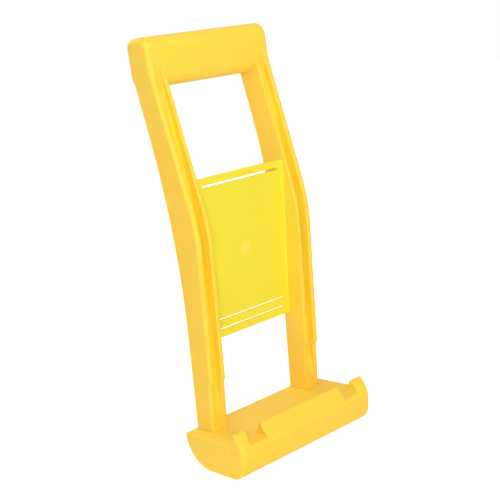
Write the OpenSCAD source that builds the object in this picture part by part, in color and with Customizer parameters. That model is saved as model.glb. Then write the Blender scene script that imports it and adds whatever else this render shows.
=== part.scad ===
// Panel carrier: a moulded plastic hand frame that lifts a board by its bottom edge.
// Millimetres, +Z up. X runs along the handle and -Y is the side that the board goes on.
// The origin lies on the ground, under the middle of the whole carrier.
// Side outlines are lists of [y, z] points, drawn across X by the module across().

/* [Tray] */
// Width of the tray across its two end hooks
tray_w = 154; // [140:1:190]
// Depth of the whole carrier, from the lip's front to the grip's back
depth = 80; // [74:0.5:95]
// Height of the tray floor, which the board stands on
floor_z = 30.5; // [27:0.5:38]
// Wall thickness of the tray shell
tray_wall = 3.2; // [2.4:0.1:4]
// Radius of the rounded back of the sole
heel_r = 28; // [24:0.5:28]
// Radius of the sole under the front wall
toe_r = 17; // [12:0.5:19]
// Distance that the front wall leans outwards over the floor's height
front_lean = 6.2; // [4:0.1:8]
// Radius of the tray's upright corners in plan
tray_corner_r = 4; // [2:0.5:5]
// Thickness of the ribs inside the tray
tray_rib = 2.4; // [1.8:0.1:3]
// Distance of the inner pair of ribs from the middle
tray_rib_x = 17; // [10:1:30]
// Height of the shell's edge below the openings at the back
heel_edge_z = 11; // [9:0.5:14]

/* [Lip] */
// Depth of the lip at the tray floor
lip_d = 18; // [16:0.5:22]
// Height of the lip over the tray floor
lip_h = 11.5; // [8:0.5:14]
// Distance of the lip's tip behind the front wall
lip_tip = 11; // [9:0.5:13]
// Radius of the front wall's upper edge, in the gaps beside the lip
brow_r = 3; // [1.5:0.5:4]
// Radius of the hooks' rounded fronts
hook_r = 12; // [8:0.5:14]
// Distance that the bend of a hook's front stands out from the lip's straight face
hook_bulge = 3; // [2:0.1:4]
// Radius of the lip's tip
lip_tip_r = 1.2; // [0.8:0.1:1.6]
// Width of each end hook
hook_w = 13; // [10:0.5:16]
// Width of each gap in the lip, in front of a rail
notch_w = 17.4; // [15:0.1:20]
// Depth of the lip's tongue inside the tray
tongue = 5; // [3:0.5:8]
// Thickness of the lip's tongue
tongue_t = 2; // [1.5:0.1:2.5]

/* [Rails] */
// Distance between the outer faces of the two rails
rail_span = 127.2; // [120:0.2:134]
// Width of each rail
rail_w = 15; // [13:0.5:17]
// Thickness of a rail's two walls
rail_wall = 3; // [2.4:0.1:3.6]
// Thickness of the web between a rail's two walls
rail_web = 3; // [2.4:0.1:4]
// Rail depth where it stands on the floor
foot_d = 22.6; // [20:0.2:25]
// Distance of the rail's foot in front of the carrier's back
foot_inset = 2.5; // [1.5:0.5:4]
// Height of the foot, up to the step in the rail's front
foot_h = 44.5; // [36:0.5:54]
// Depth of the step in the rail's front
foot_step = 2; // [1:0.1:3]
// Distance that the rail's front leans forwards over the foot's height
foot_lean = 6.6; // [5:0.1:8]
// Height of the knee over the floor
knee_h = 178.7; // [165:0.1:190]
// Distance of the front knee's corner behind the front of the carrier
knee_y = 28.4; // [27:0.1:32]
// Radius of the front knee
knee_r = 125; // [80:5:150]
// Distance of the back bend's corner behind the front knee's corner
bend_y = 27.6; // [25:0.1:30]
// Distance of the back bend's corner below the front knee's corner
bend_drop = 6; // [2:0.5:10]
// Radius of the back bend
bend_r = 620; // [500:10:650]
// Depth of the rail under the handle
neck_d = 25.9; // [23:0.1:27]
// Distance of the rail's neck in front of the carrier's back
neck_inset = 3; // [2:0.5:5]
// Height over the floor at which the front groove runs out on the foot
groove_out_low = 10.5; // [8:0.5:18]
// Height over the floor at which the front groove reaches its depth
groove_low_h = 39.5; // [30:0.5:42]
// Depth of the front groove there, as a share of the rail's depth
groove_low = 0.3; // [0.2:0.01:0.36]
// Depth of the front groove at half height, as a share of the rail's depth
groove_mid = 0.61; // [0.5:0.01:0.66]
// Depth of the front groove at the handle's underside, as a share of the rail's depth
groove_high = 0.14; // [0.1:0.01:0.2]
// Distance above the handle's underside at which the groove runs out on the handle's face
groove_out_high = 18; // [14:0.5:24]
// Height over the floor at which the rear groove starts
rear_low_h = 12; // [8:0.5:20]
// Distance below the handle at which the rear groove ends
rear_high_h = 8; // [6:0.5:14]
// Length of the rails' tenons in the tray and the handle
tenon = 12; // [9:0.5:15]
// Clearance round tenons, tongues and the panel's edges
fit_gap = 0.15; // [0.1:0.05:0.3]

/* [Handle] */
// Height of the handle's underside over the tray floor
handle_h = 298.5; // [285:0.5:320]
// Height of the handle's section
grip_h = 41.5; // [38:0.5:46]
// Depth of the handle's section
grip_d = 27.4; // [26:0.2:32]
// Distance that the handle's ends stand out from the rails
grip_over = 0.6; // [0.4:0.1:1]
// Radius along the handle's top
grip_top_r = 12; // [8:0.5:13]
// Radius along the handle's underside
grip_low_r = 10; // [6:0.5:11]
// Radius of the handle's upper corners, seen from the front
grip_corner_r = 6; // [4:0.5:9]
// Radius of the handle's upright edges
grip_edge_r = 3; // [2:0.5:4]
// Thickness of the handle's solid ends
grip_end = 9; // [7:0.5:11]
// Wall thickness of the handle
grip_wall = 3.4; // [2.6:0.1:4]
// Thickness of the ribs inside the handle
grip_rib = 2.2; // [1.8:0.1:3]
// Number of ribs inside the handle
grip_ribs = 5; // [3:1:7]

/* [Centre panel] */
// Height of the panel's lower edge over the tray floor
panel_z = 75; // [68:1:88]
// Height of the panel
panel_h = 144; // [130:1:150]
// Thickness of the panel
panel_t = 2.2; // [1.8:0.1:2.6]
// Distance of the panel's lower edge in front of the rail's back
panel_low = 5; // [4:0.5:8]
// Distance of the panel's upper edge behind the rail's front
panel_high = 2.8; // [2.6:0.1:4]
// Depth of the panel's edges in the rails
panel_edge = 1.5; // [1:0.1:1.8]
// Radius of the hollow along each side of the panel, against the rails
panel_hollow_r = 2.3; // [1.5:0.1:2.4]
// Length of the upper slot
slot_top_l = 83; // [70:1:88]
// Height of the upper slot
slot_top_h = 2.3; // [1.5:0.1:3]
// Distance of the upper slot below the panel's upper edge
slot_top_z = 7.5; // [5:0.1:9]
// Length of the two lower slots
slot_low_l = 87; // [70:1:88]
// Height of each lower slot
slot_low_h = 1.6; // [1.2:0.1:2.2]
// Distance of the lowest slot above the panel's lower edge
slot_low_z = 8.6; // [6:0.1:10]
// Distance between the two lower slots
slot_pitch = 9; // [6:0.1:11]
// Diameter of the gate mark in the middle of the panel
gate_d = 7; // [5:0.5:9]
// Height of the gate mark
gate_h = 0.3; // [0.2:0.1:0.5]

/* [Hidden] */
$fn = 64;
arc_steps = 10;
bend_steps = 18;
past = 1;
orange = [0.98, 0.76, 0.20];
lemon = [0.96, 0.88, 0.22];

front_y = -depth / 2;
back_y = depth / 2;
handle_z = floor_z + handle_h;
heel_y = back_y - 0.5;
grip_front = back_y - grip_d;
joint_y = front_y + lip_d;
rail_x = (rail_span - rail_w) / 2;
rail_inner_w = rail_w - 2 * rail_wall;
window_w = rail_span - 2 * rail_w;

// Rounding of the corner at v on the way from a to b, with a radius that fits between a and b
function unit(v) = v / norm(v);
function turn(from, to) = (to - from + 540) % 360 - 180;
function angle_of(v) = atan2(v.y, v.x);
function fillet(a, v, b, radius, steps = arc_steps) =
    let (
        u = unit(a - v),
        w = unit(b - v),
        half = acos(u * w) / 2,
        r = min(radius, min(norm(a - v), norm(b - v)) * tan(half)),
        reach = r / tan(half),
        centre = v + unit(u + w) * r / sin(half),
        start = angle_of(v + u * reach - centre),
        sweep = turn(start, angle_of(v + w * reach - centre))
    )
    [for (i = [0 : steps]) centre + r * [cos(start + sweep * i / steps), sin(start + sweep * i / steps)]];

// Y of the line from a to b at the height z, for [y, z] points
function y_at(a, b, z) = a.x + (b.x - a.x) * (z - a.y) / (b.y - a.y);
// Y of a side outline at the height z, for [y, z] points that go upwards
function edge_at(points, z) = lookup(z, [for (p = points) [p.y, p.x]]);
function shifted(points, dy) = [for (p = points) p + [dy, 0]];
function reversed(points) = [for (i = [len(points) - 1 : -1 : 0]) points[i]];

// Draws a side outline of [y, z] points across X
module across(w) {
    translate([-w / 2, 0, 0]) rotate([90, 0, 90]) linear_extrude(w) children();
}

// Corners of a rectangle w by d about the origin, rounded
function rounded_rect(w, d, r) = concat(
    fillet([0, -d / 2], [w / 2, -d / 2], [w / 2, 0], r),
    fillet([w / 2, 0], [w / 2, d / 2], [0, d / 2], r),
    fillet([0, d / 2], [-w / 2, d / 2], [-w / 2, 0], r),
    fillet([-w / 2, 0], [-w / 2, -d / 2], [0, -d / 2], r));

// TRAY

// The tray's front wall, from its foot on the ground up to the floor's height
toe = [front_y + front_lean, 0];
wall_lean = atan(front_lean / floor_z);
brow_out = brow_r * (sin(wall_lean) / tan((90 - wall_lean) / 2) - 1 + cos(wall_lean));
brow = [front_y - brow_out, floor_z];
heel_top = [heel_y, floor_z];
heel_low = [heel_y, 0];

// Outline of the sole, from the floor's back edge round to the front wall, set in by a wall
function sole(inset) =
    let (
        low = [0, inset],
        heel = [heel_y - inset, inset],
        up = unit(brow - toe),
        toe_in = toe + [inset * (1 + up.x) / up.y, inset],
        wall_top = toe_in + up * (floor_z - inset) / up.y
    )
    concat(
        [[heel_y - inset, heel_r]],
        fillet([heel_y - inset, heel_r], heel, low, heel_r - inset, bend_steps),
        fillet(low, toe_in, wall_top, toe_r - inset),
        [wall_top]);

tray_inside_top = floor_z - tray_wall;
module tray_outline() {
    edge = sole(0);
    toe_end = edge[len(edge) - 2];
    polygon(concat(
        [heel_top],
        [for (i = [0 : len(edge) - 2]) edge[i]],
        fillet(toe_end, brow, [joint_y, floor_z], brow_r)));
}
module tray_inside() {
    intersection() {
        polygon(concat([[heel_y - tray_wall, floor_z]], sole(tray_wall)));
        translate([front_y, 0]) square([depth, tray_inside_top]);
    }
}
// Keeps what lies behind the line where the lip meets the tray
module behind_joint(y0) {
    intersection() {
        children();
        translate([y0, -past]) square([depth, floor_z + lip_h + 2 * past]);
    }
}
module in_front_of_joint() {
    difference() {
        children();
        translate([joint_y, -past]) square([depth, floor_z + lip_h + 2 * past]);
    }
}
module plan_trim() {
    intersection() {
        children();
        translate([0, 0, -past]) linear_extrude(floor_z + lip_h + 2 * past)
            polygon(rounded_rect(tray_w, depth, tray_corner_r));
    }
}

// The foot of a rail on the floor, and the tenon below it
foot_back = back_y - foot_inset;
foot_front = foot_back - foot_d;
tenon_inset = 4;
low_tenon_y0 = foot_front + tenon_inset;
low_tenon_y1 = foot_back - tenon_inset;
module low_tenon(gap) {
    translate([-rail_inner_w / 2 - gap, low_tenon_y0 - gap, floor_z - tenon - gap])
        cube([rail_inner_w + 2 * gap, low_tenon_y1 - low_tenon_y0 + 2 * gap, tenon + gap + past]);
}
socket_rib_x = rail_inner_w / 2 + fit_gap + tray_rib / 2;
rib_xs = concat(
    [for (side = [-1, 1]) side * tray_rib_x],
    [for (side = [-1, 1], edge = [-1, 1]) side * rail_x + edge * socket_rib_x]);
rib_front = joint_y + tongue + 2 * fit_gap;

module tray_base() {
    color(orange) {
        difference() {
            plan_trim() across(tray_w) behind_joint(joint_y) tray_outline();
            across(tray_w - 2 * tray_wall) {
                behind_joint(front_y) tray_inside();
                translate([0, heel_edge_z]) square([depth, tray_inside_top - heel_edge_z]);
            }
            for (side = [-1, 1]) translate([side * rail_x, 0, 0]) low_tenon(fit_gap);
        }
        for (x = rib_xs) translate([x, 0, 0]) across(tray_rib) behind_joint(rib_front) tray_inside();
    }
}

// LIP

tip = [front_y + lip_tip, floor_z + lip_h];
wall_up = unit(brow - toe);
lip_root = brow - wall_up * brow_r;
face_up = unit(tip - lip_root);
hook_front = (tip + lip_root) / 2 + hook_bulge * [-face_up.y, face_up.x];
// The middle of the lip leans back in one straight face from the front wall
module lip_ridge() {
    polygon(concat(
        [[joint_y, floor_z - brow_r], [joint_y, floor_z]],
        fillet([joint_y, floor_z], tip, lip_root, lip_tip_r),
        [lip_root]));
}
// The end hooks bulge forwards, in one bow with the front wall
module hook_ridge() {
    polygon(concat(
        [[joint_y, floor_z - brow_r], [joint_y, floor_z]],
        fillet([joint_y, floor_z], tip, hook_front, lip_tip_r),
        fillet(tip, hook_front, lip_root, hook_r),
        [lip_root]));
}
module lip_shell() {
    plan_trim() across(tray_w) in_front_of_joint() tray_outline();
}
module front_lip() {
    ridge_w = tray_w - 2 * (hook_w + notch_w);
    color(orange) {
        difference() {
            union() {
                lip_shell();
                plan_trim() across(ridge_w) lip_ridge();
                for (side = [-1, 1]) plan_trim()
                    translate([side * (tray_w - hook_w) / 2, 0, 0]) across(hook_w) hook_ridge();
            }
            across(tray_w - 2 * tray_wall) in_front_of_joint() tray_inside();
        }
        // The tongue that lies inside the tray's front edge, along the floor and the sole
        across(tray_w - 2 * (tray_wall + fit_gap)) difference() {
            union() {
                tongue_strip(joint_y - tongue, -past);
                tongue_strip(joint_y - past, fit_gap);
            }
            inside_less(fit_gap + tongue_t);
        }
    }
}
// A strip of the space inside the tray, one tongue deep from y0 and set in by a gap
module tongue_strip(y0, gap) {
    intersection() {
        inside_less(gap);
        translate([y0, 0]) square([tongue + past, floor_z]);
    }
}
// The space inside the tray, set in by a gap
module inside_less(gap) {
    intersection() {
        polygon(concat([[heel_y - tray_wall - gap, floor_z]], sole(tray_wall + gap)));
        translate([front_y, 0]) square([depth, tray_inside_top - gap]);
    }
}

// RAILS

rail_top_z = handle_z + grip_low_r * 0.75;
foot_low = [foot_front, floor_z];
foot_top = [foot_front - foot_lean, floor_z + foot_h];
knee = [front_y + knee_y, floor_z + knee_h];
neck_back_y = back_y - neck_inset;
neck_front = [neck_back_y - neck_d, handle_z];
neck_back = [neck_back_y, handle_z];
bend = [knee.x + bend_y, knee.y - bend_drop];
heel_back = [foot_back, floor_z];

// A line that runs on past its end b to the height z
function onward(a, b, z) = [y_at(a, b, z), z];
rail_front_edge = concat(
    [foot_low, foot_top, foot_top - [foot_step, 0]],
    fillet(foot_top - [foot_step, 0], knee, neck_front, knee_r),
    [onward(knee, neck_front, rail_top_z)]);
rail_back_edge = concat(
    [heel_back],
    fillet(heel_back, bend, neck_back, bend_r, bend_steps),
    [[neck_back.x, rail_top_z]]);

groove_z0 = floor_z + groove_low_h;
groove_z1 = handle_z;
groove_front = concat(
    [[y_at(foot_low, foot_top, groove_z0), groove_z0]],
    [for (p = rail_front_edge) if (p.y > foot_top.y + foot_step) p]);
groove_rise = groove_mid - (groove_low + groove_high) / 2;
function groove_share(t) = groove_low + (groove_high - groove_low) * t + 4 * groove_rise * t * (1 - t);
groove_floor = [for (i = [0 : bend_steps]) let (
        t = i / bend_steps,
        z = groove_z0 + t * (groove_z1 - groove_z0),
        y0 = edge_at(groove_front, z),
        y1 = edge_at(rail_back_edge, z)
    ) [y0 + groove_share(t) * (y1 - y0), z]];
groove_out_foot = onward(foot_low, foot_top, floor_z + groove_out_low);
groove_out_face = [grip_front, handle_z + groove_out_high];
front_reach = depth;
// The groove that opens to the front between a rail's walls, and runs out on the foot and on the handle
module front_groove() {
    polygon(concat(
        [groove_out_foot],
        groove_floor,
        [groove_out_face, groove_out_face - [front_reach, 0], groove_out_foot - [front_reach, 0]]));
}
// The groove that opens to the back, one web behind the front groove
module rear_groove() {
    floor_line = concat(
        [[groove_floor[0].x + rail_web, floor_z + rear_low_h]],
        [for (p = shifted(groove_floor, rail_web)) if (p.y < handle_z - rear_high_h) p]);
    low = floor_line[0];
    high = floor_line[len(floor_line) - 1];
    polygon(concat(floor_line, [high + [front_reach, 0], low + [front_reach, 0]]));
}

// The tenon on top of a rail, which passes through the handle's lower wall
high_tenon_inset = tenon_inset + rail_wall;
high_tenon_y0 = neck_front.x + high_tenon_inset;
high_tenon_y1 = neck_back.x - high_tenon_inset;
module high_tenon(gap) {
    translate([-rail_inner_w / 2 - gap, high_tenon_y0 - gap, handle_z - past])
        cube([rail_inner_w + 2 * gap, high_tenon_y1 - high_tenon_y0 + 2 * gap, tenon + past + gap]);
}

// side is -1 for the left rail and 1 for the right one
module rail(side) {
    color(orange) translate([side * rail_x, 0, 0]) {
        difference() {
            across(rail_w) polygon(concat(rail_front_edge, reversed(rail_back_edge)));
            across(rail_inner_w) front_groove();
            across(rail_inner_w) rear_groove();
            translate([-side * rail_x, 0, 0]) panel_plate(window_w + 2 * (panel_edge + fit_gap), fit_gap);
            translate([-side * rail_x, 0, 0]) handle_body();
        }
        low_tenon(0);
        high_tenon(0);
    }
}
module left_rail() { rail(-1); }
module right_rail() { rail(1); }

// CENTRE PANEL

panel_z0 = floor_z + panel_z;
panel_z1 = panel_z0 + panel_h;
panel_foot = [y_at(heel_back, bend, panel_z0) - panel_low, panel_z0];
panel_head = [y_at(knee, neck_front, panel_z1) + panel_high, panel_z1];
panel_lean = angle_of(panel_head - panel_foot) - 90;

// Puts the panel's own frame, X across and Z up from its lower edge, in its place
module on_panel() {
    translate([0, panel_foot.x, panel_foot.y]) rotate([panel_lean, 0, 0]) children();
}
panel_len = norm(panel_head - panel_foot);
module panel_plate(w, gap) {
    on_panel() translate([-w / 2, -gap, -gap]) cube([w, panel_t + 2 * gap, panel_len + 2 * gap]);
}
// A round-ended slot, with its middle at the height z on the panel
function slot_outline(l, h) = [for (side = [1, -1], i = [0 : arc_steps]) let (a = 180 * i / arc_steps - 90)
    side * [(l - h + h * cos(a)) / 2, h * sin(a) / 2]];
module slot(l, h, z) {
    translate([0, -past, z]) rotate([-90, 0, 0]) linear_extrude(panel_t + 2 * past) polygon(slot_outline(l, h));
}
// The hollow between the panel's face and a rail, drawn in plan, with a thin land at its edges
hollow_land = 0.2;
module panel_hollow() {
    reach = panel_hollow_r + hollow_land;
    translate([window_w / 2 - fit_gap - reach, -reach]) difference() {
        square([reach, reach + panel_t / 2]);
        circle(r = panel_hollow_r);
    }
}
module centre_panel() {
    color(lemon) {
        difference() {
            panel_plate(window_w + 2 * panel_edge, 0);
            on_panel() {
                slot(slot_top_l, slot_top_h, panel_len - slot_top_z);
                for (i = [0, 1]) slot(slot_low_l, slot_low_h, slot_low_z + i * slot_pitch);
            }
        }
        on_panel() {
            for (side = [0, 1]) mirror([side, 0, 0])
                translate([0, 0, hollow_land]) linear_extrude(panel_len - 2 * hollow_land) panel_hollow();
            translate([0, panel_t / 2, panel_len / 2]) rotate([90, 0, 0])
                cylinder(d = gate_d, h = gate_h + panel_t / 2);
        }
    }
}

// HANDLE

grip_w = rail_span + 2 * grip_over;
grip_top = handle_z + grip_h;
// The handle's section, set in by a wall
function grip_section(inset) =
    let (
        y0 = grip_front + inset,
        y1 = back_y - inset,
        z0 = handle_z + inset,
        z1 = grip_top - inset,
        mid = [(y0 + y1) / 2, (z0 + z1) / 2]
    )
    concat(
        fillet([mid.x, z0], [y0, z0], [y0, mid.y], grip_low_r - inset),
        fillet([y0, mid.y], [y0, z1], [mid.x, z1], grip_top_r - inset),
        fillet([mid.x, z1], [y1, z1], [y1, mid.y], grip_top_r - inset),
        fillet([y1, mid.y], [y1, z0], [mid.x, z0], grip_low_r - inset));
// The handle's outline seen from the front
module grip_face() {
    polygon(concat(
        [[-grip_w / 2, handle_z - past], [grip_w / 2, handle_z - past]],
        fillet([grip_w / 2, handle_z], [grip_w / 2, grip_top], [0, grip_top], grip_corner_r),
        fillet([0, grip_top], [-grip_w / 2, grip_top], [-grip_w / 2, handle_z], grip_corner_r)));
}
module handle_body() {
    intersection() {
        across(grip_w) polygon(grip_section(0));
        translate([0, back_y + past, 0]) rotate([90, 0, 0]) linear_extrude(grip_d + 2 * past) grip_face();
        translate([0, (grip_front + back_y) / 2, handle_z - past]) linear_extrude(grip_h + 2 * past)
            polygon(rounded_rect(grip_w, grip_d, grip_edge_r));
    }
}
module handle_inside(w) {
    across(w) union() {
        polygon(grip_section(grip_wall));
        translate([(grip_front + back_y) / 2, handle_z + grip_wall])
            square([grip_d, grip_h - grip_wall - grip_top_r]);
    }
}
module handle_grip() {
    inside_w = grip_w - 2 * grip_end;
    rib_pitch = (window_w - 2 * grip_wall) / (grip_ribs + 1);
    color(orange) {
        difference() {
            handle_body();
            handle_inside(inside_w);
            for (side = [-1, 1]) translate([side * rail_x, 0, 0]) {
                high_tenon(fit_gap);
                across(rail_inner_w) front_groove();
            }
        }
        for (i = [1 : grip_ribs]) translate([rib_pitch * (i - (grip_ribs + 1) / 2), 0, 0]) intersection() {
            handle_body();
            handle_inside(grip_rib);
        }
    }
}

tray_base();
front_lip();
left_rail();
right_rail();
centre_panel();
handle_grip();
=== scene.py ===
import bisect
import math

import bmesh
import bpy
from mathutils import Matrix, Vector


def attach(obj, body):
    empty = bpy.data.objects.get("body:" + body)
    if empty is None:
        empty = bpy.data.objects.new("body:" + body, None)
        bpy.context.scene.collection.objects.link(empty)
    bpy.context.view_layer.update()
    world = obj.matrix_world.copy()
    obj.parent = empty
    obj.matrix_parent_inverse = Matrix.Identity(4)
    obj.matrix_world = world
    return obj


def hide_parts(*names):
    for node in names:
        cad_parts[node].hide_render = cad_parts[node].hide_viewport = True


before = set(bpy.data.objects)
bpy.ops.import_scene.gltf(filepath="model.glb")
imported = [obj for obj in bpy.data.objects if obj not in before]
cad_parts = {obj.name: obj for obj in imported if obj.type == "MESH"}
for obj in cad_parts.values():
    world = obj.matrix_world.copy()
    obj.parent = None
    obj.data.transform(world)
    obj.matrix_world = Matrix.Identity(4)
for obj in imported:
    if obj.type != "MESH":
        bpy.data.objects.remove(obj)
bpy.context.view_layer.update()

# Camera, at the photograph's viewing angle

CAM_AZIMUTH = -38.46
CAM_ELEVATION = 10.51
CAM_ROLL = -9.46
CAM_DISTANCE = 0.8613
CAM_LENS = 69.13
CAM_PIVOT = Vector((0.0, 0.0306, 0.1588))
CAM_SLIDE = Vector((0.01397, 0.01782))


def add_camera():
    az = math.radians(CAM_AZIMUTH)
    el = math.radians(CAM_ELEVATION)
    roll = math.radians(CAM_ROLL)
    back = Vector((math.sin(az) * math.cos(el), -math.cos(az) * math.cos(el), math.sin(el)))
    level = (-back).cross(Vector((0, 0, 1))).normalized()
    upright = level.cross(-back)
    right = math.cos(roll) * level + math.sin(roll) * upright
    up = -math.sin(roll) * level + math.cos(roll) * upright
    place = CAM_PIVOT + back * CAM_DISTANCE + right * CAM_SLIDE.x + up * CAM_SLIDE.y
    data = bpy.data.cameras.new("camera")
    data.lens = CAM_LENS
    data.sensor_width = 36
    data.sensor_fit = "HORIZONTAL"
    data.clip_start = 0.01
    camera = bpy.data.objects.new("camera", data)
    turn = Matrix((right, up, back)).transposed().to_4x4()
    camera.matrix_world = Matrix.Translation(place) @ turn
    bpy.context.scene.collection.objects.link(camera)
    bpy.context.scene.camera = camera


add_camera()

# Materials: satin moulded plastic, with a fine moulding grain, slow shifts of shade and gloss,
# and a little light that spreads under the surface


SCATTER_REACH = (1.0, 0.65, 0.12)
SCATTER_SCALE = 0.0035
SPECULAR = 0.3
GATE = (0.0, 0.0099, 0.1801)
BLUSH = (0.93, 0.71, 0.12)
BLUSH_OUTER = 0.011
BLUSH_INNER = 0.004
BLUSH_SHARE = 0.8
BLUSH_RAGGED = 0.006
# Painted light: a paler lemon for the groove walls, lifting the shade that falls in the rails' grooves
GROOVE_PAINTED_LIGHT = (0.97, 0.755, 0.03)
GRAIN_STRENGTH = 0.12
GRAIN_DEPTH = 0.00006
WAVE_STRENGTH = 0.25
WAVE_DEPTH = 0.0004


def plastic(name, colour, pale, roughness, subsurface, gate=None):
    material = bpy.data.materials.new(name)
    material.use_nodes = True
    nodes = material.node_tree.nodes
    links = material.node_tree.links
    shader = nodes["Principled BSDF"]
    shader.inputs["Subsurface Weight"].default_value = subsurface
    shader.inputs["Subsurface Radius"].default_value = SCATTER_REACH
    shader.inputs["Subsurface Scale"].default_value = SCATTER_SCALE
    shader.inputs["Specular IOR Level"].default_value = SPECULAR
    place = nodes.new("ShaderNodeTexCoord")

    def noise(scale, detail):
        node = nodes.new("ShaderNodeTexNoise")
        node.inputs["Scale"].default_value = scale
        node.inputs["Detail"].default_value = detail
        links.new(place.outputs["Object"], node.inputs["Vector"])
        return node.outputs["Fac"]

    def ramp(source, low, high):
        node = nodes.new("ShaderNodeValToRGB")
        node.color_ramp.elements[0].position = 0.3
        node.color_ramp.elements[1].position = 0.7
        node.color_ramp.elements[0].color = (*low, 1)
        node.color_ramp.elements[1].color = (*high, 1)
        links.new(source, node.inputs["Fac"])
        return node.outputs["Color"]

    # Flow of the melt: broad soft clouds of a slightly paler shade
    shade = ramp(noise(28, 3), colour, pale)
    if gate:
        # Pale blush that the melt leaves where it entered the mould
        away = nodes.new("ShaderNodeVectorMath")
        away.operation = "DISTANCE"
        away.inputs[1].default_value = gate
        links.new(place.outputs["Object"], away.inputs[0])
        ragged = nodes.new("ShaderNodeMath")
        ragged.operation = "MULTIPLY_ADD"
        ragged.inputs[1].default_value = BLUSH_RAGGED
        links.new(noise(320, 3), ragged.inputs[0])
        links.new(away.outputs["Value"], ragged.inputs[2])
        near = nodes.new("ShaderNodeMapRange")
        near.inputs["From Min"].default_value = BLUSH_OUTER
        near.inputs["From Max"].default_value = BLUSH_INNER
        near.inputs["To Max"].default_value = BLUSH_SHARE
        links.new(ragged.outputs["Value"], near.inputs["Value"])
        blush = nodes.new("ShaderNodeMix")
        blush.data_type = "RGBA"
        blush.inputs["B"].default_value = (*BLUSH, 1)
        links.new(near.outputs["Result"], blush.inputs["Factor"])
        links.new(shade, blush.inputs["A"])
        shade = blush.outputs["Result"]
    # The walls of the rails' front grooves, marked on the mesh, take a paler, more lemon shade: painted
    # light that lifts the shade falling in the grooves
    thin = nodes.new("ShaderNodeAttribute")
    thin.attribute_name = "thin"
    clear = nodes.new("ShaderNodeMix")
    clear.data_type = "RGBA"
    clear.inputs["B"].default_value = (*GROOVE_PAINTED_LIGHT, 1)
    links.new(thin.outputs["Fac"], clear.inputs["Factor"])
    links.new(shade, clear.inputs["A"])
    links.new(clear.outputs["Result"], shader.inputs["Base Color"])
    # Gloss differs a little over the moulding
    gloss = nodes.new("ShaderNodeMapRange")
    gloss.inputs["To Min"].default_value = roughness - 0.05
    gloss.inputs["To Max"].default_value = roughness + 0.06
    links.new(noise(95, 4), gloss.inputs["Value"])
    links.new(gloss.outputs["Result"], shader.inputs["Roughness"])
    # Fine spark grain of the mould
    grain = nodes.new("ShaderNodeBump")
    grain.inputs["Strength"].default_value = GRAIN_STRENGTH
    grain.inputs["Distance"].default_value = GRAIN_DEPTH
    links.new(noise(2400, 2), grain.inputs["Height"])
    # Faint waves that the cooling leaves on flat faces
    waves = nodes.new("ShaderNodeBump")
    waves.inputs["Strength"].default_value = WAVE_STRENGTH
    waves.inputs["Distance"].default_value = WAVE_DEPTH
    links.new(noise(60, 1), waves.inputs["Height"])
    links.new(waves.outputs["Normal"], grain.inputs["Normal"])
    links.new(grain.outputs["Normal"], shader.inputs["Normal"])
    return material


YELLOW = plastic("carrier_yellow", (0.96, 0.603, 0.053), (0.97, 0.628, 0.06), 0.56, 0.5)
LEMON = plastic("panel_lemon", (0.79, 0.68, 0.031), (0.805, 0.705, 0.036), 0.52, 0.3, GATE)

# Sizes in millimetres. Most are the part's own; the rails' width, walls and grooves, the handle's
# ends and the panel's details lie closer to the photograph

MM = 0.001
TRAY_W = 154
FLOOR_Z = 30.5
JOINT_Y = -22
BACK_Y = 40
HEEL_Y = 39.5
HEEL_R = 28
TOE_R = 17
BROW = (-40.67, 30.5)
BROW_R = 3
TOE = (-33.8, 0)
TIP = (-29, 42)
TIP_R = 1.2
HOOK_FOOT_Z = 20
RIDGE_ROOT_R = 9
HOOK_W = 13
NOTCH_W = 17.4
RAIL_OUT = 64.7
RAIL_W = 16.1
RAIL_DRAFT = 0.9
OUTER_WALL = 5.1
INNER_WALL = 3.3
RAIL_WEB = 3
FOOT_LOW = (14.9, 30.5)
FOOT_TOP = (8.3, 75)
FOOT_STEP = 2
KNEE = (-11.6, 209.2)
KNEE_R = 125
NECK_FRONT = (11.1, 329)
HEEL_BACK = (37.5, 30.5)
BEND = (16, 203.2)
BEND_R = 620
NECK_BACK = (37, 329)
HANDLE_Z = 329
GRIP_H = 41.5
GRIP_FRONT = 12.6
GRIP_HALF = 65.1
GROOVE_OUT_Z = 46
GROOVE_Z0 = 70
GROOVE_SHARES = (0.3, 0.38, 0.22)
GROOVE_OUT_HIGH = 347

# Plane figures: points are (a, b) pairs


def arc_at(a, v, b, radius, steps):
    """Points of the rounded corner v on the way from a to b."""
    a, v, b = Vector(a), Vector(v), Vector(b)
    if (a - v).length < 1e-9 or (b - v).length < 1e-9 or radius < 1e-6:
        return [v.copy() for _ in range(steps + 1)]
    u = (a - v).normalized()
    w = (b - v).normalized()
    half = math.acos(max(-1, min(1, u.dot(w)))) / 2
    if half > math.radians(89.9):
        return [v.copy() for _ in range(steps + 1)]
    reach = radius / math.tan(half)
    centre = v + (u + w).normalized() * radius / math.sin(half)
    start = v + u * reach - centre
    end = v + w * reach - centre
    sweep = math.atan2(start.x * end.y - start.y * end.x, start.dot(end))
    points = []
    for i in range(steps + 1):
        t = sweep * i / steps
        turned = Vector((
            start.x * math.cos(t) - start.y * math.sin(t),
            start.x * math.sin(t) + start.y * math.cos(t)))
        points.append(centre + turned)
    return points


def at_height(line, z):
    """The first value of a polyline of (y, z) points at the height z."""
    heights = [p[1] for p in line]
    i = min(max(bisect.bisect_right(heights, z), 1), len(line) - 1)
    (y0, z0), (y1, z1) = line[i - 1], line[i]
    t = (z - z0) / (z1 - z0)
    return y0 + (y1 - y0) * t


def smooth(low, high, value):
    t = min(max((value - low) / (high - low), 0), 1)
    return t * t * (3 - 2 * t)


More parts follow.
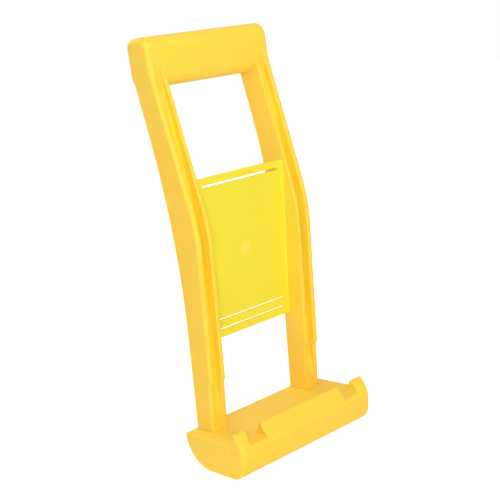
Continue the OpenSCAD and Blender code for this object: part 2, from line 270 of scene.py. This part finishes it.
def resample(points, count):
    """The same way in count points, at even distances."""
    lengths = [0]
    for p, q in zip(points, points[1:]):
        lengths.append(lengths[-1] + (Vector(q) - Vector(p)).length)
    out = []
    for k in range(count):
        s = lengths[-1] * k / (count - 1)
        i = min(max(bisect.bisect_right(lengths, s), 1), len(points) - 1)
        t = (s - lengths[i - 1]) / max(lengths[i] - lengths[i - 1], 1e-9)
        out.append(Vector(points[i - 1]).lerp(Vector(points[i]), t))
    return out


def quarter(d, radius):
    """How far an edge of this radius has drawn back at the distance d from the end."""
    if d >= radius or radius <= 0:
        return 0
    return radius - math.sqrt(radius * radius - (radius - d) ** 2)


# Meshes


def finish_mesh(mesh, sharp=38):
    bm = bmesh.new()
    bm.from_mesh(mesh)
    bmesh.ops.remove_doubles(bm, verts=bm.verts, dist=0.000002)
    bmesh.ops.dissolve_degenerate(bm, edges=bm.edges, dist=0.000002)
    bmesh.ops.recalc_face_normals(bm, faces=bm.faces)
    if bm.calc_volume(signed=True) < 0:
        bmesh.ops.reverse_faces(bm, faces=bm.faces)
    for face in bm.faces:
        face.smooth = True
    for edge in bm.edges:
        if len(edge.link_faces) == 2:
            edge.smooth = edge.calc_face_angle(0) < math.radians(sharp)
    bm.to_mesh(mesh)
    bm.free()


def loft(name, rings):
    """A closed skin through rings of equally many points, with a face at each end."""
    count = len(rings[0])
    points = [Vector(p) * MM for ring in rings for p in ring]
    faces = []
    for i in range(len(rings) - 1):
        for k in range(count):
            n = (k + 1) % count
            faces.append((i * count + k, i * count + n, (i + 1) * count + n, (i + 1) * count + k))
    faces.append(tuple(reversed(range(count))))
    faces.append(tuple((len(rings) - 1) * count + k for k in range(count)))
    mesh = bpy.data.meshes.new(name)
    mesh.from_pydata(points, [], faces)
    finish_mesh(mesh)
    thing = bpy.data.objects.new(name, mesh)
    bpy.context.scene.collection.objects.link(thing)
    return thing


def combine(thing, others, operation):
    for other in others:
        step = thing.modifiers.new("combine", "BOOLEAN")
        step.operation = operation
        step.solver = "EXACT"
        step.object = other
    bpy.context.view_layer.update()
    result = thing.evaluated_get(bpy.context.evaluated_depsgraph_get())
    mesh = bpy.data.meshes.new_from_object(result)
    mesh.name = thing.name
    thing.modifiers.clear()
    thing.data = mesh
    for other in others:
        bpy.data.objects.remove(other)
    finish_mesh(mesh)


def cut(thing, cutters):
    """Takes the cutters' space out of a thing, and removes the cutters."""
    combine(thing, cutters, "DIFFERENCE")


def join(thing, other):
    combine(thing, [other], "UNION")


def settle(thing, node, material):
    thing.data.materials.clear()
    thing.data.materials.append(material)
    shade = thing.modifiers.new("even_normals", "WEIGHTED_NORMAL")
    shade.keep_sharp = True
    shade.weight = 80
    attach(thing, "root")
    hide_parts(node)


def pocket(name, x0, x1, y0, y1, z0, z1, radius):
    """A bay that is open to the back, with rounded corners and a little draft."""
    rings = []
    for y, grow in ((y0, -0.5), (y0 + 0.4, -0.1), (y1, 0.25)):
        a, b, c, d = x0 - grow, x1 + grow, z0 - grow, z1 + grow
        corners = [(a, c), (b, c), (b, d), (a, d)]
        ring = []
        for i, v in enumerate(corners):
            before = (Vector(corners[i - 1]) + Vector(v)) / 2
            after = (Vector(corners[(i + 1) % 4]) + Vector(v)) / 2
            ring += [(p.x, y, p.y) for p in arc_at(before, v, after, radius, 5)]
        rings.append(ring)
    return loft(name, rings)


# Rails: bowed channels whose front groove runs out on the foot and on the handle

front_upper = [(FOOT_TOP[0] - FOOT_STEP, FOOT_TOP[1])]
front_upper += [tuple(p) for p in arc_at(front_upper[0], KNEE, NECK_FRONT, KNEE_R, 16)]
slope = (NECK_FRONT[0] - KNEE[0]) / (NECK_FRONT[1] - KNEE[1])
front_upper += [(NECK_FRONT[0] + 20 * slope, NECK_FRONT[1] + 20)]
back_line = [HEEL_BACK]
back_line += [tuple(p) for p in arc_at(HEEL_BACK, BEND, NECK_BACK, BEND_R, 20)]
back_line += [NECK_BACK, (NECK_BACK[0], NECK_BACK[1] + 20)]
foot_line = [FOOT_LOW, FOOT_TOP]


def rail_front(z):
    step = smooth(FOOT_TOP[1] - 1.4, FOOT_TOP[1] + 0.5, z)
    return at_height(foot_line, z) * (1 - step) + at_height(front_upper, max(z, FOOT_TOP[1])) * step


def groove_front(z):
    lean = smooth(GROOVE_Z0, FOOT_TOP[1] + 12, z)
    return at_height(foot_line, z) * (1 - lean) + at_height(front_upper, max(z, FOOT_TOP[1])) * lean


def groove_deep(z):
    low, mid, high = GROOVE_SHARES
    t = (z - GROOVE_Z0) / (HANDLE_Z - GROOVE_Z0)
    share = low + (high - low) * t + 4 * (mid - (low + high) / 2) * t * (1 - t)
    y0 = groove_front(z)
    return y0 + share * (at_height(back_line, z) - y0)


def groove_floor(z):
    if z <= GROOVE_Z0:
        t = (z - GROOVE_OUT_Z) / (GROOVE_Z0 - GROOVE_OUT_Z)
        start = at_height(foot_line, GROOVE_OUT_Z)
        return start + t * (groove_deep(GROOVE_Z0) - start)
    if z >= HANDLE_Z:
        t = (z - HANDLE_Z) / (GROOVE_OUT_HIGH - HANDLE_Z)
        return groove_deep(HANDLE_Z) * (1 - t) + GRIP_FRONT * t
    return groove_deep(z)


REAR_Z0 = FLOOR_Z + 12
REAR_Z1 = HANDLE_Z - 8
RAIL_TOP = 337.5
DRAFT_Z0 = 90
DRAFT_Z1 = 270
FOOT_FLARE = 0.6
REAR_FADE = 0.4
RAIL_OUTER_R = 2.3
RAIL_INNER_R = 0.9
FOOT_INNER_R = 1.6
RAIL_BACK_R = 0.7
GROOVE_R = 1.2
GROOVE_LIP_R = 0.8
REAR_LIP_R = 0.6
HAIR = 0.001


def rail_ring(z):
    front = rail_front(z)
    back = at_height(back_line, z)
    deep = max(groove_floor(z), front + HAIR)
    flare = quarter(z - FLOOR_Z, FOOT_FLARE)
    opened = smooth(0.3, 3, deep - front)
    above = smooth(REAR_Z0 - REAR_FADE, REAR_Z0 + REAR_FADE, z)
    below = 1 - smooth(REAR_Z1 - REAR_FADE, REAR_Z1 + REAR_FADE, z)
    rear_open = above * below
    rear = back - max((back - groove_floor(max(z, GROOVE_Z0)) - RAIL_WEB) * rear_open, HAIR)
    wall = OUTER_WALL
    inner = RAIL_W - INNER_WALL
    window = RAIL_W + flare + RAIL_DRAFT * min(max((DRAFT_Z1 - z) / (DRAFT_Z1 - DRAFT_Z0), 0), 1)
    inner_r = RAIL_INNER_R * opened + FOOT_INNER_R * (1 - opened)
    corners = [
        (-flare, back + flare, RAIL_BACK_R),
        (-flare, front - flare, RAIL_OUTER_R),
        (wall, front - flare, GROOVE_R * opened),
        (wall, deep - flare, GROOVE_R * opened),
        (inner, deep - flare, GROOVE_R * opened),
        (inner, front - flare, GROOVE_LIP_R * opened),
        (window, front - flare, inner_r),
        (window, back + flare, RAIL_BACK_R),
        (inner, back + flare, REAR_LIP_R * rear_open),
        (inner, rear + flare, GROOVE_R * rear_open),
        (wall, rear + flare, GROOVE_R * rear_open),
        (wall, back + flare, REAR_LIP_R * rear_open),
    ]
    ring = []
    for i, (u, y, radius) in enumerate(corners):
        before = corners[i - 1]
        after = corners[(i + 1) % len(corners)]
        room = min(math.hypot(before[0] - u, before[1] - y), math.hypot(after[0] - u, after[1] - y))
        radius = min(radius, room * 0.5 if radius < 1.25 else room * 0.97)
        ring += arc_at(before[:2], (u, y), after[:2], radius, 6)
    return ring


def rail_heights():
    heights = [FLOOR_Z + d for d in (0, 0.1, 0.3, 0.6, 1.0, 1.6, 4, 7)]
    heights += [40, 41.5, 42.1, 42.3, 42.5, 42.7, 42.9, 44]
    heights += [47, 50, 53, 56, 59, 62, 65, 68, 70, 72, 73.2]
    heights += [73.6 + 0.2 * i for i in range(11)]
    heights += [77 + 4 * i for i in range(61)]
    heights += [320.6, 320.8, 321, 321.2, 321.4, 323, 326, 329, 331, 333, 335, 336.5, RAIL_TOP]
    return sorted(h for h in heights if h <= RAIL_TOP)


GROOVE_LIGHT_FROM = (50, 80)
GROOVE_LIGHT_UNTIL = (300, 330)


def thinness(u, y, z):
    """Share of painted light that brightens a rail: 1 on the walls of the front groove, where shade falls,
    and 0 on its floor and on the rest of a rail.
    """
    if u < OUTER_WALL - 0.1 or u > RAIL_W - INNER_WALL + 0.1 or y > groove_floor(z) + 0.5:
        return 0
    ends = smooth(*GROOVE_LIGHT_FROM, z) * (1 - smooth(*GROOVE_LIGHT_UNTIL, z))
    middle = (OUTER_WALL + RAIL_W - INNER_WALL) / 2
    aside = smooth(0.7, 0.95, abs(u - middle) / (middle - OUTER_WALL))
    return ends * aside * smooth(0.3, 2.5, y - rail_front(z))


def add_rail(name, side):
    rings = []
    for z in rail_heights():
        rings.append([(side * (RAIL_OUT - p.x), p.y, z) for p in rail_ring(z)])
    thing = loft("rail_" + name, rings)
    # Marks each point with the share of painted light that lifts the shade on the groove walls
    thin = thing.data.attributes.new("thin", "FLOAT", "POINT")
    for vertex, mark in zip(thing.data.vertices, thin.data):
        u = RAIL_OUT - abs(vertex.co.x) / MM
        mark.value = thinness(u, vertex.co.y / MM, vertex.co.z / MM)
    settle(thing, name + "_rail", YELLOW)


add_rail("left", -1)
add_rail("right", 1)

# Handle: a thick bar with pillowed ends, cored from the back between ribs

GRIP_TOP_R = 12
GRIP_LOW_R = 10
GRIP_HEEL_R = 12
GRIP_BACK_R = 5.5
GRIP_WALL = 3.4
GRIP_RIB = 2.2
GRIP_RIBS = 5
GRIP_BAY_END = 55.2
BAY_INSET = 0.3
BAY_PAST = 2
GRIP_BAY_R = 2


def grip_outline():
    """Points round the handle's section with their outward directions."""
    y0, y1 = GRIP_FRONT, BACK_Y
    z0, z1 = HANDLE_Z, HANDLE_Z + GRIP_H
    centres = [
        (y0 + GRIP_LOW_R, z0 + GRIP_LOW_R, GRIP_LOW_R, 270, 180),
        (y0 + GRIP_TOP_R, z1 - GRIP_TOP_R, GRIP_TOP_R, 180, 90),
        (y1 - GRIP_BACK_R, z1 - GRIP_BACK_R, GRIP_BACK_R, 90, 0),
        (y1 - GRIP_HEEL_R, z0 + GRIP_HEEL_R, GRIP_HEEL_R, 0, -90),
    ]
    between = (12, 2, 5, 4)
    out = []
    for i, (cy, cz, radius, start, end) in enumerate(centres):
        for k in range(13):
            angle = math.radians(start + (end - start) * k / 12)
            way = Vector((math.cos(angle), math.sin(angle)))
            out.append((Vector((cy, cz)) + way * radius, way))
        ny, nz, nr, turn, _ = centres[(i + 1) % 4]
        way = Vector((math.cos(math.radians(turn)), math.sin(math.radians(turn))))
        after = Vector((ny, nz)) + way * nr
        here = out[-1][0]
        for k in range(1, between[i]):
            out.append((here.lerp(after, k / between[i]), way))
    return out


GRIP = grip_outline()
GRIP_LEAN = 1.2
END_TOP_R = 4.5
END_SIDE_R = 4
END_BACK_R = 1.2
END_LOW_R = 1.4


def groove_span():
    """Middle and half width of a rail's groove along X."""
    outer = RAIL_OUT - OUTER_WALL
    inner = RAIL_OUT - RAIL_W + INNER_WALL
    return (outer + inner) / 2, (outer - inner) / 2


def grip_ring(x):
    d = GRIP_HALF - abs(x)
    centre, half = groove_span()
    groove = 1 - smooth(half - 0.5, half + 0.5, abs(abs(x) - centre))
    ring = []
    for place, way in GRIP:
        side_r = END_SIDE_R + (END_BACK_R - END_SIDE_R) * smooth(-0.3, 0.8, way.x)
        if way.y >= 0:
            radius = side_r + (END_TOP_R - side_r) * way.y
        else:
            radius = side_r + (END_LOW_R - side_r) * min(-way.y * 1.6, 1)
        p = place - way * quarter(d, radius)
        y = p.x
        if way.x < 0 and p.y < GROOVE_OUT_HIGH and groove > 0:
            behind = 0.12 * (1 - smooth(RAIL_TOP - 1, RAIL_TOP + 1, p.y))
            y = max(y, y + (groove_floor(p.y) + behind - y) * groove)
        lean = GRIP_LEAN * max(p.y - RAIL_TOP, 0) / (HANDLE_Z + GRIP_H - RAIL_TOP)
        ring.append((x, y - lean, p.y))
    return ring


def grip_stations():
    centre, half = groove_span()
    xs = [GRIP_HALF - d for d in (0, 0.12, 0.3, 0.6, 1, 1.5, 2.1, 2.8, 3.4, 4, 5, 6, 7, 8, 9)]
    for edge in (centre - half, centre + half):
        xs += [edge + 0.25 * i for i in range(-3, 4)]
    xs += [0, 8, 16, 24, 32, 40, 46]
    xs = sorted(set(round(x, 4) for x in xs))
    return [-x for x in reversed(xs) if x > 0] + xs


def add_handle():
    thing = loft("handle", [grip_ring(x) for x in grip_stations()])
    window = 2 * (RAIL_OUT - RAIL_W)
    pitch = (window - 2 * GRIP_WALL) / (GRIP_RIBS + 1)
    edges = [-GRIP_BAY_END]
    for i in range(GRIP_RIBS):
        middle = pitch * (i - (GRIP_RIBS - 1) / 2)
        edges += [middle - GRIP_RIB / 2, middle + GRIP_RIB / 2]
    edges.append(GRIP_BAY_END)
    low = HANDLE_Z + GRIP_WALL + BAY_INSET
    high = HANDLE_Z + GRIP_H - GRIP_TOP_R - BAY_INSET
    deep = GRIP_FRONT + GRIP_WALL
    bays = []
    for i in range(0, len(edges), 2):
        x0 = edges[i] + BAY_INSET
        x1 = edges[i + 1] - BAY_INSET
        bays.append(pocket("bay", x0, x1, deep, BACK_Y + BAY_PAST, low, high, GRIP_BAY_R))
    cut(thing, bays)
    settle(thing, "handle_grip", YELLOW)


add_handle()

# Tray and lip: rings across X, drawn back at the two ends by the rounding of the edges


def on_wall(z):
    return Vector(TOE).lerp(Vector(BROW), z / BROW[1])


sole_mid = (0, 0)
toe_whole = arc_at(BROW, TOE, sole_mid, TOE_R, 24)
toe_arc = [p for p in toe_whole if p.x < JOINT_Y - 0.3]
toe_rest = [p for p in toe_whole if p.x > JOINT_Y + 0.3]
heel_arc = arc_at((HEEL_Y, HEEL_R), (HEEL_Y, 0), sole_mid, HEEL_R, 24)
wall_way = (Vector(BROW) - Vector(TOE)).normalized()
lip_root = Vector(BROW) - wall_way * BROW_R / math.tan(math.acos(-wall_way.x) / 2)
joint_top = Vector((JOINT_Y, FLOOR_Z))
joint_low = Vector((JOINT_Y, toe_arc[-1].lerp(toe_rest[0], 0.5).y))
WALL_ZS = (18.5, 17, 15.5)
BACK_COUNT = 14
FACE_COUNT = 30


def lip_section(back, face):
    """A ring of the lip: up its back, down its face, then down the wall and round the toe."""
    low = [on_wall(z) for z in WALL_ZS]
    return resample(back, BACK_COUNT) + resample(face, FACE_COUNT) + low + toe_arc + [joint_low]


def bow(a, way, b, steps):
    """Points of the arc that leaves a in the direction way and ends in b."""
    chord = b - a
    turn = math.atan2(way.x * chord.y - way.y * chord.x, way.dot(chord))
    side = Vector((-way.y, way.x)) * (1 if turn > 0 else -1)
    radius = chord.length / (2 * math.sin(abs(turn)))
    centre = a + side * radius
    out = []
    for i in range(steps + 1):
        t = 2 * turn * i / steps
        arm = a - centre
        out.append(centre + Vector((
            arm.x * math.cos(t) - arm.y * math.sin(t),
            arm.x * math.sin(t) + arm.y * math.cos(t))))
    return out


def tip_parts(before, after, radius):
    """The rounded tip between two directions, in a half for the back and a half for the face."""
    points = arc_at(before, TIP, after, radius, 12)
    return points[:7], points[6:]


def ridge_section(root_r):
    back, face = tip_parts(joint_top, lip_root, TIP_R)
    if root_r > 0:
        face = face + arc_at(TIP, lip_root, on_wall(0), root_r, 16)
    else:
        face = face + [lip_root]
    return lip_section([joint_top] + back, face)


def notch_section():
    half_way = joint_top.lerp(Vector(BROW), 0.4)
    return lip_section([joint_top, half_way], [half_way] + arc_at(joint_top, BROW, TOE, BROW_R, 16))


def hook_section():
    foot = on_wall(HOOK_FOOT_Z)
    line = bow(foot, wall_way, Vector(TIP), 24)
    back, face = tip_parts(joint_top, line[-3], TIP_R)
    return lip_section([joint_top] + back, face + list(reversed(line[:-2])))


SIDE_TIP_R = TIP_R * 0.7
SIDE_CHIN = (-31.6, 39.4)
SIDE_NECK = (-31.9, 38.6)
SIDE_NECK_R = 3
SIDE_FALL = (-33, 31.5)
SIDE_HOLLOW = (-33.4, 30.4)
SIDE_HOLLOW_R = 2.6
SIDE_SILL = (-38.6, 30.3)
SIDE_BROW = (-39.6, 30.2)
SIDE_BROW_R = 1.6


def hook_side_section():
    """A hook's side towards the gap, which falls from the tip and hollows out into the gap's floor."""
    back, face = tip_parts(joint_top, SIDE_CHIN, SIDE_TIP_R)
    face = face + arc_at(TIP, SIDE_NECK, SIDE_FALL, SIDE_NECK_R, 6)
    face += arc_at(SIDE_NECK, SIDE_HOLLOW, SIDE_SILL, SIDE_HOLLOW_R, 6)
    face += arc_at(SIDE_HOLLOW, SIDE_BROW, lip_root, SIDE_BROW_R, 4) + [lip_root]
    return lip_section([joint_top] + back, face)


def outward(points):
    """Outward directions of a ring that goes from the joint's top to its foot."""
    ways = []
    for i, p in enumerate(points):
        before = points[max(i - 1, 0)]
        after = points[min(i + 1, len(points) - 1)]
        along = after - before
        if along.length < 1e-9:
            along = points[min(i + 2, len(points) - 1)] - points[max(i - 2, 0)]
        along.normalize()
        ways.append(Vector((along.y, -along.x)))
    ways[0] = Vector((0, 1))
    ways[-1] = Vector((0, -1))
    return ways


def drawn_back(points, d, top_r, side_r, corner_r, sign):
    """The ring at the distance d from an end of the tray; sign turns the directions outwards."""
    ring = []
    for i, (p, way) in enumerate(zip(points, outward(points))):
        way = way * sign if 0 < i < len(points) - 1 else way
        if way.y > 0:
            radius = side_r + (top_r - side_r) * way.y
        else:
            radius = side_r
        radius += (corner_r - side_r) * max(abs(way.x) - 0.5, 0) * 2
        near_tip = 1 - smooth(0.8, 5, (p - Vector(TIP)).length)
        radius = radius * (1 - near_tip) + 1.0 * near_tip
        ring.append(p - way * quarter(d, radius))
    seam = max(SEAM_REACH - d, 0) * SEAM_SLOPE
    for q in (ring[0], ring[-1]):
        q.x += seam if sign < 0 else -seam
    return ring


SEAM_REACH = 0.6
SEAM_SLOPE = 0.8
RIDGE_END_R = 0.7
HOOK_BLEND = 4.2
HOOK_END_RADII = (1.2, 1.4, 4)
TRAY_END_RADII = (0.8, 0.9, 0.8)
END_STEPS = (0, 0.08, 0.2, 0.3, 0.5, 0.8, 1.2, 1.7, 2.3, 3, 4)


def add_lip():
    half = TRAY_W / 2
    hook_x = half - HOOK_W
    ridge_x = hook_x - NOTCH_W
    notch = notch_section()
    hook = hook_section()
    side = hook_side_section()
    right = []
    for d in (12, 9, 6, 3.5, 1.8):
        right.append((ridge_x - d, ridge_section(RIDGE_ROOT_R * smooth(0, 12, d))))
    ridge = ridge_section(0)
    for d in (0.7, 0.45, 0.25, 0.1, 0):
        soft = quarter(d, RIDGE_END_R)
        ring = []
        for p, way in zip(ridge, outward(ridge)):
            ring.append(p - way * soft * smooth(FLOOR_Z + 0.5, FLOOR_Z + 4, p.y))
        right.append((ridge_x - d, ring))
    right.append((ridge_x, notch))
    right.append((hook_x - 1.2, notch))
    right.append((hook_x - 0.4, [p.lerp(q, 0.06) for p, q in zip(notch, side)]))
    right.append((hook_x, [p.lerp(q, 0.35) for p, q in zip(notch, side)]))
    right.append((hook_x + 0.05, side))
    for t in (0.04, 0.12, 0.25, 0.45, 0.7, 1):
        ease = math.sqrt(1 - (1 - t) ** 2)
        right.append((hook_x + 0.05 + HOOK_BLEND * t, [p.lerp(q, ease) for p, q in zip(side, hook)]))
    for d in reversed(END_STEPS):
        right.append((half - d, drawn_back(hook, d, *HOOK_END_RADII, 1)))
    rings = [[(-x, p.x, p.y) for p in ring] for x, ring in reversed(right)]
    rings += [[(x, p.x, p.y) for p in ring] for x, ring in right]
    thing = loft("lip", rings)
    settle(thing, "front_lip", YELLOW)


TRAY_RIB = 2.4
TRAY_RIB_X = 17
TRAY_SOCKET = 5.85
TRAY_BAY_END = 73.8
TRAY_BAY_FRONT = -14
TRAY_BAY_LOW = 11.3
TRAY_BAY_HIGH = 27
TRAY_BAY_R = 1.2


def add_tray():
    half = TRAY_W / 2
    floor = [joint_top.lerp(Vector((HEEL_Y - 2, FLOOR_Z)), t) for t in (0, 0.05, 0.3, 0.6, 0.9)]
    edge = arc_at(joint_top, (HEEL_Y, FLOOR_Z), (HEEL_Y, 0), 1.6, 6)
    section = floor + edge + heel_arc + list(reversed(toe_rest)) + [joint_low]
    steps = list(reversed(END_STEPS))
    right = [(20, section)]
    right += [(half - d, drawn_back(section, d, *TRAY_END_RADII, -1)) for d in steps]
    rings = [[(-x, p.x, p.y) for p in ring] for x, ring in reversed(right)]
    rings += [[(x, p.x, p.y) for p in ring] for x, ring in right]
    thing = loft("tray", rings)
    rail_x = RAIL_OUT - RAIL_W / 2
    ribs = sorted(s * x for s in (-1, 1) for x in (TRAY_RIB_X, rail_x - TRAY_SOCKET, rail_x + TRAY_SOCKET))
    sides = [x + s * TRAY_RIB / 2 for x in ribs for s in (-1, 1)]
    edges = [-TRAY_BAY_END] + sides + [TRAY_BAY_END]
    bays = []
    for i in range(0, len(edges), 2):
        x0 = edges[i] + BAY_INSET
        x1 = edges[i + 1] - BAY_INSET
        bays.append(pocket(
            "bay", x0, x1, TRAY_BAY_FRONT, BACK_Y + BAY_PAST, TRAY_BAY_LOW, TRAY_BAY_HIGH, TRAY_BAY_R))
    cut(thing, bays)
    settle(thing, "tray_base", YELLOW)


add_lip()
add_tray()

# Centre panel: a leaning plate with a hollow along each rail, three slots and a round gate mark

PANEL_FOOT = Vector((21.7, 106.2))
PANEL_HEAD = Vector((-1.164, 249.5))
PANEL_W = 100.2
PANEL_T = 2.2
PANEL_HOLLOW_R = 2.3
PANEL_LAND = 0.2
PANEL_SIDE = 48.45
SLOT_TOP = (85, 2.3, 7.5)
SLOT_LOW = (87, 1.6, 7.8)
SLOT_PITCH = 9

panel_way = (PANEL_HEAD - PANEL_FOOT).normalized()
panel_len = (PANEL_HEAD - PANEL_FOOT).length
GATE_UP = panel_len / 2 + 2.2


def on_panel(x, v, w):
    """A point of the panel: x across, v behind its face, w up from its lower edge."""
    p = PANEL_FOOT + panel_way * w + Vector((panel_way.y, -panel_way.x)) * v
    return (x, p.x, p.y)


def panel_half():
    """Half of the panel's section, from its middle over the face to the side: (x, v) points."""
    reach = PANEL_HOLLOW_R + PANEL_LAND
    start = PANEL_SIDE - reach
    points = [(start * k / 6, 0) for k in range(6)] + [(start, 0), (start, -PANEL_LAND)]
    for k in range(1, 12):
        a = math.radians(90 - 90 * k / 12)
        x = start + PANEL_HOLLOW_R * math.cos(a)
        points.append((x, -reach + PANEL_HOLLOW_R * math.sin(a)))
    points += [(PANEL_SIDE - PANEL_LAND, -reach), (PANEL_SIDE, -reach), (PANEL_SIDE, 0)]
    points += [(PANEL_W / 2, 0), (PANEL_W / 2, PANEL_T)]
    return points


def slot_cutter(l, h, w):
    ring = []
    for side in (1, -1):
        for k in range(13):
            a = math.radians(180 * k / 12 - 90)
            ring.append((side * (l - h + h * math.cos(a)) / 2, side * h * math.sin(a) / 2))
    rings = [[on_panel(x, v, w + up) for x, up in ring] for v in (-2, PANEL_T + 2)]
    return loft("slot", rings)


def gate_mark():
    rings = []
    profile = [(3.5, 0.6), (3.5, -0.12), (3.42, -0.25), (3.3, -0.3)]
    profile += [(1.2, -0.3), (1.0, -0.22), (0.6, -0.2)]
    for r, v in profile:
        turns = [math.radians(360 * k / 40) for k in range(40)]
        rings.append([on_panel(r * math.cos(a), v, GATE_UP + r * math.sin(a)) for a in turns])
    return loft("gate", rings)


def add_panel():
    half = panel_half()
    section = [(-x, v) for x, v in reversed(half)] + half[1:]
    rings = [[on_panel(x, v, panel_len * k / 12) for x, v in section] for k in range(13)]
    thing = loft("panel", rings)
    slots = [slot_cutter(SLOT_TOP[0], SLOT_TOP[1], panel_len - SLOT_TOP[2])]
    slots += [slot_cutter(SLOT_LOW[0], SLOT_LOW[1], SLOT_LOW[2] + i * SLOT_PITCH) for i in (0, 1)]
    cut(thing, slots)
    join(thing, gate_mark())
    edges = thing.modifiers.new("edges", "BEVEL")
    edges.width = 0.0003
    edges.segments = 2
    edges.limit_method = "ANGLE"
    edges.angle_limit = math.radians(40)
    combine(thing, [], "UNION")
    settle(thing, "centre_panel", LEMON)


add_panel()

# Stage and light


def area(name, place, aim, size, power):
    data = bpy.data.lights.new(name, "AREA")
    data.shape = "DISK"
    data.size = size
    data.energy = power
    light = bpy.data.objects.new(name, data)
    light.location = place
    light.rotation_euler = (Vector(aim) - Vector(place)).to_track_quat("-Z", "Y").to_euler()
    bpy.context.scene.collection.objects.link(light)


def seen_directly(nodes, links):
    """1 for rays that come straight from the camera or from a mirror or a glass, else 0."""
    path = nodes.new("ShaderNodeLightPath")
    total = path.outputs["Is Camera Ray"]
    for name in ("Is Glossy Ray", "Is Transmission Ray"):
        add = nodes.new("ShaderNodeMath")
        add.operation = "MAXIMUM"
        links.new(total, add.inputs[0])
        links.new(path.outputs[name], add.inputs[1])
        total = add.outputs["Value"]
    return total


AMBIENT = 0.32
FLOOR_HALF = 8
FLOOR_WHITE = 0.93
FLOOR_LIFT = 0.74
LAMP_AIM = (0, 0, 0.18)


def add_stage():
    mesh = bpy.data.meshes.new("floor")
    corners = [(x * FLOOR_HALF, y * FLOOR_HALF, 0) for x, y in ((-1, -1), (1, -1), (1, 1), (-1, 1))]
    mesh.from_pydata(corners, [], [(0, 1, 2, 3)])
    floor = bpy.data.objects.new("floor", mesh)
    bpy.context.scene.collection.objects.link(floor)
    paint = bpy.data.materials.new("floor_white")
    paint.use_nodes = True
    nodes = paint.node_tree.nodes
    links = paint.node_tree.links
    shader = nodes["Principled BSDF"]
    shader.inputs["Base Color"].default_value = (FLOOR_WHITE, FLOOR_WHITE, FLOOR_WHITE, 1)
    shader.inputs["Roughness"].default_value = 0.9
    shader.inputs["Specular IOR Level"].default_value = 0.1
    shader.inputs["Emission Color"].default_value = (1, 1, 1, 1)
    lift = nodes.new("ShaderNodeMath")
    lift.operation = "MULTIPLY"
    lift.inputs[1].default_value = FLOOR_LIFT
    links.new(seen_directly(nodes, links), lift.inputs[0])
    links.new(lift.outputs["Value"], shader.inputs["Emission Strength"])
    mesh.materials.append(paint)
    world = bpy.data.worlds.new("studio")
    bpy.context.scene.world = world
    world.use_nodes = True
    nodes = world.node_tree.nodes
    links = world.node_tree.links
    background = nodes["Background"]
    background.inputs["Color"].default_value = (1, 1, 1, 1)
    level = nodes.new("ShaderNodeMapRange")
    level.inputs["To Min"].default_value = AMBIENT
    level.inputs["To Max"].default_value = 1.0
    links.new(seen_directly(nodes, links), level.inputs["Value"])
    links.new(level.outputs["Result"], background.inputs["Strength"])


add_stage()
area("front", (-0.84, -1.157, 0.46), LAMP_AIM, 0.6, 12.2)
area("top", (-0.2, -0.6, 1.6), LAMP_AIM, 1.0, 9.5)
area("back", (-0.15, 1.4, 0.8), LAMP_AIM, 0.9, 7)

bpy.context.scene.view_settings.view_transform = "Standard"
